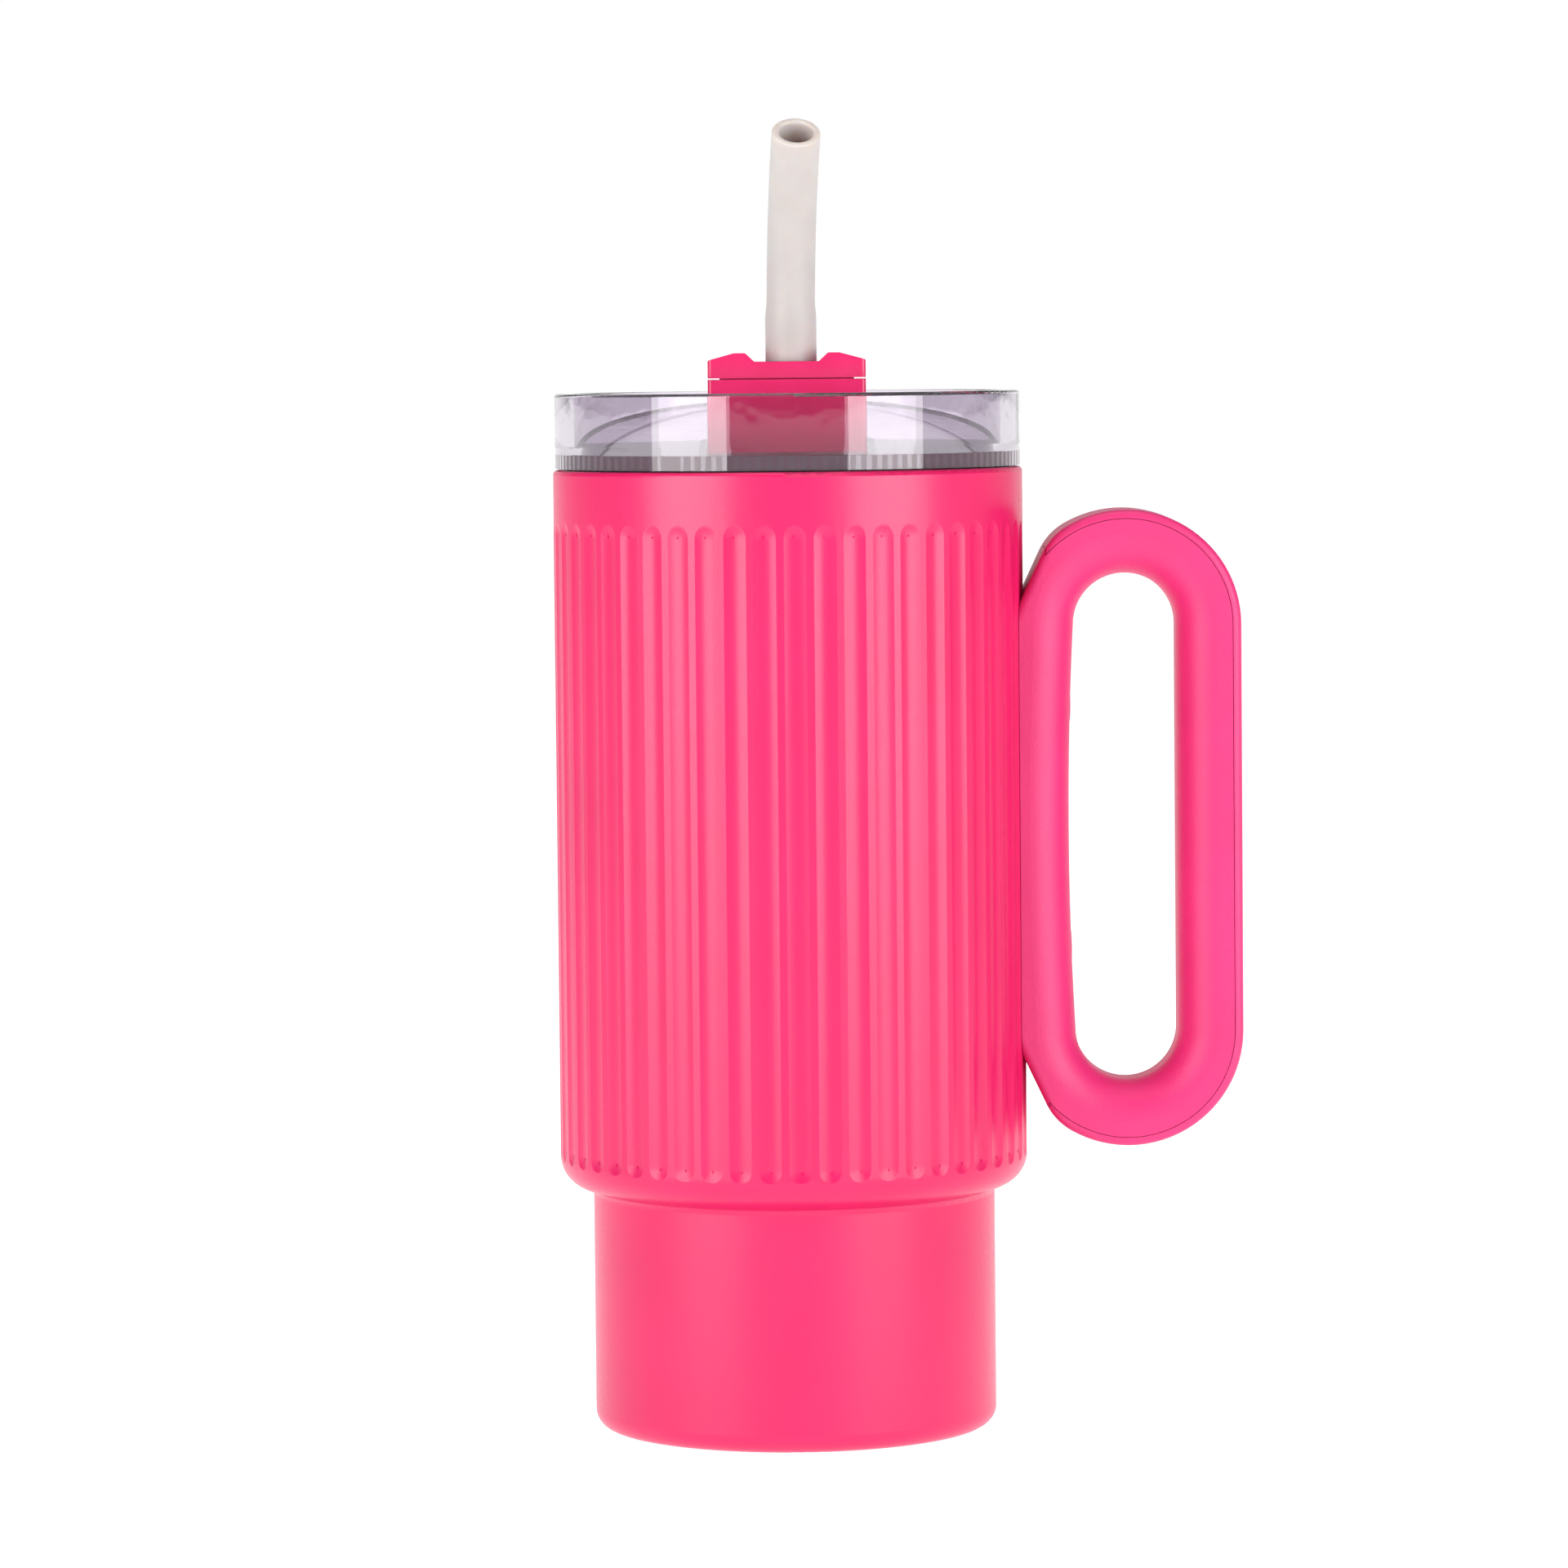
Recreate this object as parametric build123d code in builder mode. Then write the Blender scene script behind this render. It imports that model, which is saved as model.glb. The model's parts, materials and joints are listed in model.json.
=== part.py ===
"""Insulated travel mug: fluted double-wall cup with a loop handle, and a clear lid with a flip spout.

Millimetres. The origin is the centre of the resting face and +Z runs up the cup's axis. The handle is
on the +X side. The upright spout leans towards -Y, the drinker's side, and folds back towards +Y.
"""
import os
from math import cos, pi, radians, sin, tan

from build123d import *

os.makedirs("parts", exist_ok=True)

# ---------------------------------------------------------------- driving sizes: the cup
cup_height = 190.9          # floor to lip
body_radius = 46.5          # upper body
base_radius = 40.0          # lower body, sized for a cup holder
shoulder_z = 47.9           # where the shoulder meets the lower body
shoulder_slope = 15.0       # degrees above level, rising outwards
shoulder_fillet = 6.3
waist_fillet = 1.5          # inside corner under the shoulder
heel_fillet = 3.7           # round at the bottom of the lower body
lip_fillet = 0.9
shell_wall = 0.6
liner_wall = 0.5
lower_gap = 2.75            # vacuum gap round the lower body
mouth_radius = body_radius - 2.9    # inside of the liner
liner_floor_z = 6.5         # inside floor of the liner
liner_floor_fillet = 9.0
liner_step_rise = 3.0       # shoulder to the start of the liner's step
liner_step_height = 9.0
seam_radius = mouth_radius + 1.0    # weld between the liner's lip and the shell's lip
heel_inner_radius = base_radius - 6.0  # inner edge of the ring that the cup stands on

# flutes pressed into the upper body
flute_count = 50
flute_groove_radius = 6.6
flute_shoulder_radius = 3.7 # round between a groove and the land beside it
flute_slope = 16.0          # degrees, the steepest slope of a groove's sides
flute_top_z = cup_height - 9.9
flute_bottom_z = shoulder_z + 5.4
flute_overcut = 0.9         # the cutters reach this far outside the body
flute_phase = 5.1           # degrees from +X to the nearest groove

# base
base_disc_wall = 0.6
base_recess = 1.6           # the disc's underside above the floor
pad_fillet = 0.4
dimple_radius = 7.0
dimple_rise = 1.4
port_radius = 1.0           # evacuation hole
seal_drop = 0.8
getter_radius = 5.0
getter_height = 1.8
getter_offset = 14.0
getter_fillet = 0.4

# ---------------------------------------------------------------- driving sizes: the handle
grip_thickness = 12.65      # radial thickness of the loop
grip_depth = 22.0           # along Y
loop_inner_radius = 10.15
loop_centre_x = body_radius + 19.9
loop_top_z = cup_height - 31.45     # centre of the upper bend
loop_bottom_z = shoulder_z + 31.2   # centre of the lower bend
leg_bow = 1.1               # the finger side of the cup's leg bows in by this much
flat_reach = 5.8            # width of the flat where the loop runs in to the cup
flat_rise = 12.3            # and its height
flat_start = 4.0            # above the bend's centre, where the flat meets the cup
flat_foot = 1.58            # and this far inside the loop's outer edge
flat_fillet = 12.0
finger_fillet = 8.0
cover_fillet = 1.6
cover_rise = 1.8            # seam to the cover's outer face
cover_end_x = loop_centre_x - 15.8  # the cover stops here, next to the cup
seam_gap = 0.12
tongue_depth = 2.4          # the cover's tongue reaches this far into the frame
tongue_wall = 1.6
hollow_width = 15.0         # hollow inside the frame, under the cover
hollow_floor = 3.6          # wall left between the hollow and the fingers
hollow_end_x = loop_centre_x - 6.4  # the hollow stops here, clear of the screws
saddle_clearance = 0.1
stud_radius = 4.0
stud_reach = 3.6            # from the upper body outwards
stud_root = 0.9             # the stud's foot is formed to the flutes, this far in
screw_radius = 1.5
screw_head_radius = 3.0
screw_head_height = 2.0
screw_thread = 3.2          # length of thread in the stud
screw_drive_radius = 1.2
screw_drive_depth = 1.0
cap_radius = 4.2
cap_height = 1.0
fixing_spacing = 50.0       # between the two screws, one above the other
fit = 0.1                   # general clearance between fixed pieces

# ---------------------------------------------------------------- driving sizes: the lid
lip_gap = 0.3               # lid to lip
lid_radius = body_radius - 0.4
lid_wall = 3.8
lid_height = 14.8           # bottom of the skirt to the top of the rim
skirt_wall = 1.6            # outside the gasket
flange_height = 4.4
plug_radius = mouth_radius - 1.3
plug_depth = 10.5           # below the skirt
deck_radius = plug_radius - 1.4
deck_thickness = 2.4
deck_tilt = 10.6            # degrees, rising towards +Y
deck_rise = 5.2             # centre of the deck above the skirt's bottom
rim_fillet = 0.7
gasket_height = 2.8         # the gasket's flat ring, over the lip
gasket_sleeve = 0.5         # its sleeve round the plug
gasket_sleeve_depth = 7.5
gasket_clearance = 0.3      # fins to liner
gasket_fins = 3
gasket_fin_pitch = 2.2
gasket_fin_height = 0.7
vent_y = 24.0
vent_radius = 1.6
vent_head_radius = 3.2
vent_head_height = 0.8

# ---------------------------------------------------------------- driving sizes: the flip spout
pivot_y = -3.5
pivot_rise = 12.4           # pivot above the skirt's bottom
housing_width = 31.1
housing_floor = 3.1         # under the barrel
housing_corner = 0.8
cheek_thickness = 2.0
cheek_rise = 4.9            # pivot to the top of the cheeks and the front wall
barrel_radius = 6.4
housing_front = barrel_radius + 1.6  # pivot to the housing's front face
housing_back = barrel_radius + 0.4   # pivot to its back face
running = 0.2               # clearance under and before the barrel
side_clearance = 0.3
cap_gap = 0.3               # between the front wall and the carrier's cap
cap_corner_rise = 8.7       # pivot to the cap's outer corners
horn_rise = 10.1            # pivot to the horns' crests
dip_rise = 8.4              # pivot to the dip between the horns
horn_outer_x = 10.4
horn_inner_x = 8.2
dip_half_width = 6.4
horn_fillet = 0.6
cap_fillet = 0.5
pin_radius = 1.25
pin_depth = 3.0             # how far each pin reaches into the carrier
pin_clearance = 0.05
spout_radius = 4.78
spout_root_radius = 5.05
spout_bore_radius = 3.4
spout_seat_rise = 2.0       # pivot to the spout's lower end
spout_bend_rise = 13.0      # pivot to the start of the bend
spout_bend_radius = 67.4
spout_bend = 36.6           # degrees
spout_root_end = 3.2        # degrees of bend where the thicker root starts to thin
spout_taper_end = 6.1
spout_yaw = 6.0             # the bend leans this many degrees towards the handle
spout_offset = 0.9          # the spout stands this far towards the handle from the lid's middle
spout_tip_fillet = 0.45
port_radius_top = 2.9
valve_seat_radius = 4.8
valve_seat_depth = 2.4      # under the barrel's lowest point
well_gap = 0.15
well_wall = 1.6
well_floor = 1.9
well_gasket_height = 2.3
well_gasket_width = 25.0
well_gasket_length = 12.0
well_gasket_corner = 2.0
straw_radius = 4.0
straw_bore_radius = 3.3
straw_floor_gap = 3.0       # straw's end above the liner's floor
straw_cut = 30.0            # degrees, slant of the straw's lower end
socket_wall = 1.4
socket_depth = 11.0

# ---------------------------------------------------------------- sizes worked out from those
lid_z = cup_height + lip_gap
rim_z = lid_z + lid_height
deck_z = lid_z + deck_rise
plug_z = lid_z - plug_depth
pivot_z = lid_z + pivot_rise
liner_radius = mouth_radius + liner_wall
liner_lower_radius = base_radius - shell_wall - lower_gap
liner_bottom_z = liner_floor_z - liner_wall
outer_loop_radius = loop_inner_radius + grip_thickness
seam_loop_radius = outer_loop_radius - cover_rise
loop_middle_z = (loop_top_z + loop_bottom_z) / 2
fixing_zs = (loop_middle_z - fixing_spacing / 2, loop_middle_z + fixing_spacing / 2)
grip_half_depth = grip_depth / 2
half_width = housing_width / 2
inner_half_width = half_width - cheek_thickness
housing_bottom_z = pivot_z - barrel_radius - running - housing_floor
well_floor_z = housing_bottom_z - well_gasket_height
well_bottom_z = well_floor_z - well_floor
straw_top_z = well_bottom_z
straw_bottom_z = liner_floor_z + straw_floor_gap
tilt = radians(deck_tilt)
deck_normal = (0, -sin(tilt), cos(tilt))
deck_top = Plane(origin=(0, 0, deck_z), x_dir=(1, 0, 0), z_dir=deck_normal)
deck_under = deck_top.offset(-deck_thickness)


def save(part, name):
    """Label a finished piece and write it to its file."""
    part.label = name
    export_step(part, f"parts/{name}.step")


def corner(x, y):
    """The corner of the sketch being drawn that lies nearest to (x, y)."""
    return vertices().sort_by_distance((x, y, 0))[0]


# ---------------------------------------------------------------- the cup's fluted skin
def flute_cutter(inset):
    """One groove's cutter at +X: a hollow with rounded shoulders, turned to a round end above and below."""
    hollow, shoulder = flute_groove_radius + inset, flute_shoulder_radius - inset
    slope = radians(flute_slope)
    face_x = body_radius - inset
    floor_x = face_x - (hollow + shoulder) * (1 - cos(slope))
    turn = (floor_x + hollow * (1 - cos(slope)), hollow * sin(slope))
    edge_y = (hollow + shoulder) * sin(slope)
    middle = (face_x - shoulder * (1 - cos(slope / 2)), edge_y - shoulder * sin(slope / 2))
    middle_of_hollow = (floor_x + hollow * (1 - cos(slope / 2)), hollow * sin(slope / 2))
    ball_z = flute_top_z - edge_y
    middle_z = (flute_top_z + flute_bottom_z) / 2
    outside_x = face_x + flute_overcut
    with BuildSketch() as half_section:
        with BuildLine():
            ThreePointArc((floor_x, 0), middle_of_hollow, turn)
            ThreePointArc(turn, middle, (face_x, edge_y))
            Polyline((face_x, edge_y), (outside_x, edge_y), (outside_x, 0), (floor_x, 0))
        make_face()
    with BuildPart() as cutter:
        with BuildSketch(Plane.XY.offset(middle_z)):
            add(half_section.sketch)
            mirror(about=Plane.XZ)
        extrude(amount=ball_z - middle_z)
        with BuildSketch(Plane.XY.offset(ball_z)):
            add(half_section.sketch)
        revolve(axis=Axis((0, 0, ball_z), (1, 0, 0)), revolution_arc=180)
        mirror(about=Plane.XY.offset(middle_z))
    return cutter.part


def skin(inset):
    """Everything inside the shell's outer face, taken in by inset, with the flutes cut in it."""
    upper, lower = body_radius - inset, base_radius - inset
    low_z, step_z, high_z = inset, shoulder_z + inset, cup_height - inset
    rim_of_step_z = step_z + (upper - lower) * tan(radians(shoulder_slope))
    with BuildPart() as form:
        with BuildSketch(Plane.XZ):
            with BuildLine():
                Polyline(
                    (0, low_z), (lower, low_z), (lower, step_z), (upper, rim_of_step_z),
                    (upper, high_z), (0, high_z), close=True,
                )
            make_face()
            fillet(corner(lower, low_z), heel_fillet - inset)
            fillet(corner(lower, step_z), waist_fillet + inset)
            fillet(corner(upper, rim_of_step_z), shoulder_fillet - inset)
            fillet(corner(upper, high_z), lip_fillet - inset)
        revolve(axis=Axis.Z)
        with PolarLocations(0, flute_count, start_angle=flute_phase):
            add(flute_cutter(inset), mode=Mode.SUBTRACT)
    return form.part


skin_solid = skin(0)

with BuildPart() as outer_shell:
    add(skin_solid)
    add(skin(shell_wall), mode=Mode.SUBTRACT)
    with BuildSketch(Plane.XY.offset(cup_height - 2 * shell_wall)):
        Circle(seam_radius)
    extrude(amount=3 * shell_wall, mode=Mode.SUBTRACT)
    with BuildSketch(Plane.XY.offset(-shell_wall)):
        Circle(heel_inner_radius)
    extrude(amount=3 * shell_wall, mode=Mode.SUBTRACT)
save(outer_shell.part, "outer_shell")


# ---------------------------------------------------------------- liner and base
def liner_form(inset):
    """Solid inside the liner's vacuum face, taken in by inset."""
    upper, lower = liner_radius - inset, liner_lower_radius - inset
    floor_z = liner_bottom_z + inset
    step_low = shoulder_z + liner_step_rise
    step_high = step_low + liner_step_height
    with BuildPart() as form:
        with BuildSketch(Plane.XZ):
            with BuildLine():
                Polyline(
                    (0, floor_z), (lower, floor_z), (lower, step_low), (upper, step_high),
                    (upper, cup_height), (0, cup_height), close=True,
                )
            make_face()
            fillet(corner(lower, floor_z), liner_floor_fillet)
            fillet(corner(lower, step_low), liner_step_height / 2)
            fillet(corner(upper, step_high), liner_step_height / 2)
        revolve(axis=Axis.Z)
    return form.part


with BuildPart() as inner_liner:
    add(liner_form(0))
    with BuildSketch(Plane.XY.offset(cup_height - shell_wall)):
        Circle(seam_radius)
    extrude(amount=shell_wall)
    add(liner_form(liner_wall), mode=Mode.SUBTRACT)
save(inner_liner.part, "inner_liner")

dimple_z = base_recess + dimple_rise
with BuildPart() as base_disc:
    with BuildSketch(Plane.XZ):
        with BuildLine():
            Polyline(
                (port_radius, dimple_z), (dimple_radius - dimple_rise, dimple_z),
                (dimple_radius, base_recess), (heel_inner_radius - base_disc_wall, base_recess),
                (heel_inner_radius - base_disc_wall, fit), (heel_inner_radius, fit),
                (heel_inner_radius, base_recess + base_disc_wall),
                (dimple_radius, base_recess + base_disc_wall),
                (dimple_radius - dimple_rise, dimple_z + base_disc_wall),
                (port_radius, dimple_z + base_disc_wall), close=True,
            )
        make_face()
    revolve(axis=Axis.Z)
save(base_disc.part, "base_disc")

with BuildPart() as base_pad:
    with BuildSketch():
        Circle(heel_inner_radius - base_disc_wall - 2 * fit)
    extrude(amount=base_recess)
    fillet(edges().sort_by(Axis.Z)[0], pad_fillet)
save(base_pad.part, "base_pad")

with BuildPart() as vacuum_seal:
    with BuildSketch(Plane.XY.offset(dimple_z - seal_drop)):
        Circle(3 * port_radius)
    extrude(amount=seal_drop)
    fillet(edges().sort_by(Axis.Z)[0], 0.75 * seal_drop)
    with BuildSketch(Plane.XY.offset(dimple_z)):
        Circle(port_radius)
    extrude(amount=base_disc_wall)
save(vacuum_seal.part, "vacuum_seal")

with BuildPart() as getter:
    with BuildSketch(Plane.XY.offset(liner_bottom_z - getter_height)):
        with Locations((getter_offset, 0)):
            Circle(getter_radius)
    extrude(amount=getter_height)
    fillet(edges().group_by(Axis.Z)[0], getter_fillet)
save(getter.part, "getter")


# ---------------------------------------------------------------- the handle
def band(inner, outer, depth, start_x):
    """Part of the loop between two distances from the line through its bends, beyond start_x."""
    with BuildPart() as strip:
        with BuildSketch(Plane.XZ):
            with Locations((loop_centre_x, loop_middle_z)):
                SlotCenterToCenter(loop_top_z - loop_bottom_z, 2 * outer, rotation=90)
                SlotCenterToCenter(
                    loop_top_z - loop_bottom_z, 2 * inner, rotation=90, mode=Mode.SUBTRACT
                )
            with Locations((start_x, loop_middle_z)):
                Rectangle(4 * outer, cup_height, align=(Align.MIN, Align.CENTER), mode=Mode.INTERSECT)
        extrude(amount=depth / 2, both=True)
    return strip.part


def grip_face_x(z):
    """Where the cup-side leg's finger face stands at height z, along its bow."""
    half_length = (loop_top_z - loop_bottom_z) / 2
    share = (z - loop_middle_z) / half_length
    return loop_centre_x - loop_inner_radius - leg_bow * (1 - share**2)


def bar(x_start, x_end, radius):
    """Round bars along X, one at each fixing."""
    with BuildPart() as bars:
        for z in fixing_zs:
            with BuildSketch(Plane.YZ.offset(x_start)):
                with Locations((0, z)):
                    Circle(radius)
            extrude(amount=x_end - x_start)
    return bars.part


saddle_radius = body_radius + saddle_clearance
cap_face_x = min(grip_face_x(z) for z in fixing_zs)
cap_seat_x = cap_face_x - cap_height
head_seat_x = cap_seat_x - fit - screw_head_height
stud_end_x = body_radius + stud_reach
flat_foot_x = loop_centre_x - outer_loop_radius + flat_foot

with BuildPart() as loop:
    left_x, right_x = loop_centre_x - loop_inner_radius, loop_centre_x + loop_inner_radius
    with BuildSketch(Plane.XZ):
        with Locations((loop_centre_x, loop_middle_z)):
            SlotCenterToCenter(loop_top_z - loop_bottom_z, 2 * outer_loop_radius, rotation=90)
        for end, way in ((loop_top_z, 1), (loop_bottom_z, -1)):
            slope = way * flat_rise / flat_reach
            foot = (flat_foot_x, end + way * flat_start)
            outside_x = flat_foot_x - 3 * flat_reach
            low = (foot[0] - flat_reach, foot[1] - slope * flat_reach)
            high = (foot[0] + 2 * flat_reach, foot[1] + slope * 2 * flat_reach)
            with BuildLine():
                Polyline(low, high, (outside_x, high[1]), (outside_x, low[1]), close=True)
            make_face(mode=Mode.SUBTRACT)
            fillet(corner(foot[0] + flat_reach, foot[1] + way * flat_rise), flat_fillet)
        with BuildLine():
            Line((right_x, loop_bottom_z), (right_x, loop_top_z))
            ThreePointArc(
                (right_x, loop_top_z), (loop_centre_x, loop_top_z + loop_inner_radius),
                (left_x, loop_top_z),
            )
            ThreePointArc((left_x, loop_top_z), (left_x - leg_bow, loop_middle_z), (left_x, loop_bottom_z))
            ThreePointArc(
                (left_x, loop_bottom_z), (loop_centre_x, loop_bottom_z - loop_inner_radius),
                (right_x, loop_bottom_z),
            )
        make_face(mode=Mode.SUBTRACT)
    extrude(amount=grip_half_depth, both=True)
    finger_rims = [e for f in faces().filter_by(Axis.Y) for w in f.inner_wires() for e in w.edges()]
    fillet(finger_rims, finger_fillet)
    outer_rims = [e for f in faces().filter_by(Axis.Y) for e in f.outer_wire().edges()]
    fillet(outer_rims, cover_fillet)
    with Locations((0, 0, loop_middle_z)):
        Cylinder(saddle_radius, cup_height, mode=Mode.SUBTRACT)

hollow_inner = loop_inner_radius + hollow_floor
far = outer_loop_radius + 1
with BuildPart() as handle_frame:
    add(loop.part)
    add(band(seam_loop_radius, far, 2 * grip_depth, cover_end_x), mode=Mode.SUBTRACT)
    add(band(hollow_inner, seam_loop_radius + fit, hollow_width, hollow_end_x), mode=Mode.SUBTRACT)
    add(bar(0, stud_end_x + fit, stud_radius + fit), mode=Mode.SUBTRACT)
    add(bar(0, cap_seat_x, screw_radius + 2 * fit), mode=Mode.SUBTRACT)
    add(bar(head_seat_x, cap_seat_x, screw_head_radius + 2 * fit), mode=Mode.SUBTRACT)
    add(bar(cap_seat_x, loop_centre_x, cap_radius), mode=Mode.SUBTRACT)
save(handle_frame.part, "handle_frame")

rail_depth = hollow_width - 2 * fit
rail_start_x = hollow_end_x + fit
with BuildPart() as handle_cover:
    add(band(seam_loop_radius + seam_gap, far, 2 * grip_depth, cover_end_x + seam_gap))
    add(loop.part, mode=Mode.INTERSECT)
    cover_inside = seam_loop_radius + seam_gap
    add(band(seam_loop_radius - tongue_depth, cover_inside + fit, rail_depth, rail_start_x))
    between_rails = rail_depth - 2 * tongue_wall
    add(
        band(seam_loop_radius - 2 * tongue_depth, cover_inside, between_rails, hollow_end_x),
        mode=Mode.SUBTRACT,
    )
save(handle_cover.part, "handle_cover")

with BuildPart() as handle_studs:
    add(bar(body_radius - stud_root, stud_end_x, stud_radius))
    add(skin_solid, mode=Mode.SUBTRACT)
    add(bar(stud_end_x - screw_thread, stud_end_x, screw_radius), mode=Mode.SUBTRACT)
save(handle_studs.part, "handle_studs")

head_top_x = head_seat_x + screw_head_height
with BuildPart() as handle_screws:
    add(bar(stud_end_x - screw_thread, head_seat_x, screw_radius))
    add(bar(head_seat_x, head_top_x, screw_head_radius))
    for z in fixing_zs:
        with BuildSketch(Plane.YZ.offset(head_top_x)):
            with Locations((0, z)):
                RegularPolygon(screw_drive_radius, 6)
        extrude(amount=-screw_drive_depth, mode=Mode.SUBTRACT)
save(handle_screws.part, "handle_screws")

with BuildPart() as screw_caps:
    add(bar(cap_seat_x, cap_face_x, cap_radius))
save(screw_caps.part, "screw_caps")

# ---------------------------------------------------------------- the lid
flange_z = lid_z + flange_height
gasket_z = lid_z + gasket_height
sleeve_z = lid_z - gasket_sleeve_depth
skirt_inner = lid_radius - skirt_wall
wall_inner = lid_radius - lid_wall
sleeve_radius = plug_radius + gasket_sleeve
vent_plane = Plane(
    origin=(0, vent_y, deck_z + vent_y * tan(tilt)), x_dir=(1, 0, 0), z_dir=deck_normal
)
housing_middle_y = pivot_y + (housing_back - housing_front) / 2
housing_length = housing_back + housing_front


def column(radius, top):
    """Round column on the lid's axis from the plug's foot up to a tilted plane."""
    with BuildPart() as post:
        with BuildSketch(Plane.XY.offset(plug_z)):
            Circle(radius)
        extrude(amount=rim_z - plug_z)
        split(bisect_by=top, keep=Keep.BOTTOM)
    return post.part


def well_block(grow, floor_z):
    """Upright block round the spout housing's footprint, from floor_z to the top of its cheeks."""
    with BuildPart() as block:
        with BuildSketch(Plane.XY.offset(floor_z)):
            with Locations((0, housing_middle_y)):
                Rectangle(housing_width + 2 * grow, housing_length + 2 * grow)
        extrude(amount=pivot_z + cheek_rise - floor_z)
        fillet(edges().filter_by(Axis.Z), housing_corner + grow)
    return block.part


with BuildPart() as well_outside:
    add(well_block(well_gap + well_wall, well_bottom_z))
    split(bisect_by=deck_top, keep=Keep.BOTTOM)

with BuildPart() as lid_body:
    with BuildSketch(Plane.XZ):
        with BuildLine():
            Polyline(
                (deck_radius, plug_z), (plug_radius, plug_z), (sleeve_radius, plug_z + gasket_sleeve),
                (sleeve_radius, sleeve_z), (plug_radius, sleeve_z), (plug_radius, gasket_z),
                (skirt_inner, gasket_z), (skirt_inner, lid_z), (lid_radius, lid_z),
                (lid_radius, rim_z), (wall_inner, rim_z), (wall_inner, flange_z),
                (deck_radius, flange_z), close=True,
            )
        make_face()
        fillet([corner(lid_radius, rim_z), corner(wall_inner, rim_z)], rim_fillet)
    revolve(axis=Axis.Z)
    add(column(plug_radius, deck_top))
    add(column(deck_radius, deck_under), mode=Mode.SUBTRACT)
    add(well_outside.part)
    with BuildSketch(Plane.XY.offset(well_bottom_z - socket_depth)):
        with Locations((0, pivot_y)):
            Circle(straw_radius + socket_wall)
    extrude(amount=socket_depth)
    add(well_block(well_gap, well_floor_z), mode=Mode.SUBTRACT)
    with BuildSketch(Plane.XY.offset(well_bottom_z - socket_depth)):
        with Locations((0, pivot_y)):
            Circle(straw_radius)
    extrude(amount=socket_depth, mode=Mode.SUBTRACT)
    with BuildSketch(Plane.XY.offset(well_bottom_z)):
        with Locations((0, pivot_y)):
            Circle(straw_bore_radius)
    extrude(amount=well_floor, mode=Mode.SUBTRACT)
    with BuildSketch(vent_plane):
        Circle(vent_radius)
    extrude(amount=-2 * deck_thickness, mode=Mode.SUBTRACT)
save(lid_body.part, "lid_body")

with BuildPart() as lid_gasket:
    with BuildSketch(Plane.XZ):
        with BuildLine():
            Polyline(
                (plug_radius, gasket_z), (skirt_inner, gasket_z), (skirt_inner, lid_z),
                (sleeve_radius, lid_z), (sleeve_radius, sleeve_z), (plug_radius, sleeve_z), close=True,
            )
        make_face()
        for i in range(gasket_fins):
            with Locations((plug_radius, sleeve_z + gasket_fin_height + i * gasket_fin_pitch)):
                Rectangle(
                    mouth_radius - gasket_clearance - plug_radius, gasket_fin_height,
                    align=(Align.MIN, Align.MIN),
                )
    revolve(axis=Axis.Z)
save(lid_gasket.part, "lid_gasket")

with BuildPart() as vent_valve:
    with BuildSketch(vent_plane):
        Circle(vent_head_radius)
    extrude(amount=vent_head_height)
    fillet(edges().sort_by(Axis.Z)[-1:], vent_head_height / 2)
    with BuildSketch(vent_plane):
        Circle(vent_radius)
    extrude(amount=-deck_thickness)
    with BuildSketch(vent_plane.offset(-deck_thickness)):
        Circle(vent_head_radius)
    extrude(amount=-vent_head_height)
save(vent_valve.part, "vent_valve")

with BuildPart() as straw_tube:
    with BuildSketch(Plane.XY.offset(straw_bottom_z)):
        with Locations((0, pivot_y)):
            Circle(straw_radius)
            Circle(straw_bore_radius, mode=Mode.SUBTRACT)
    extrude(amount=straw_top_z - straw_bottom_z)
    slant = Plane(
        origin=(0, pivot_y - straw_radius, straw_bottom_z),
        z_dir=(0, -sin(radians(straw_cut)), cos(radians(straw_cut))),
    )
    split(bisect_by=slant, keep=Keep.TOP)
save(straw_tube.part, "straw_tube")

# ---------------------------------------------------------------- the flip spout's housing
pivot = Plane(origin=(0, pivot_y, pivot_z), x_dir=(0, 1, 0), z_dir=(1, 0, 0))


def trough(clearance):
    """Space of the turning carrier between the cheeks: round in front of the pivot, flat behind it."""
    radius = barrel_radius + clearance
    beyond = 3 * housing_front
    with BuildPart() as space:
        with BuildSketch(pivot.offset(-inner_half_width)):
            with BuildLine():
                Line((-radius, beyond), (-radius, 0))
                ThreePointArc((-radius, 0), (-radius * sin(pi / 4), -radius * cos(pi / 4)), (0, -radius))
                Polyline((0, -radius), (beyond, -radius), (beyond, beyond), (-radius, beyond))
            make_face()
        extrude(amount=2 * inner_half_width)
    return space.part


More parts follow.
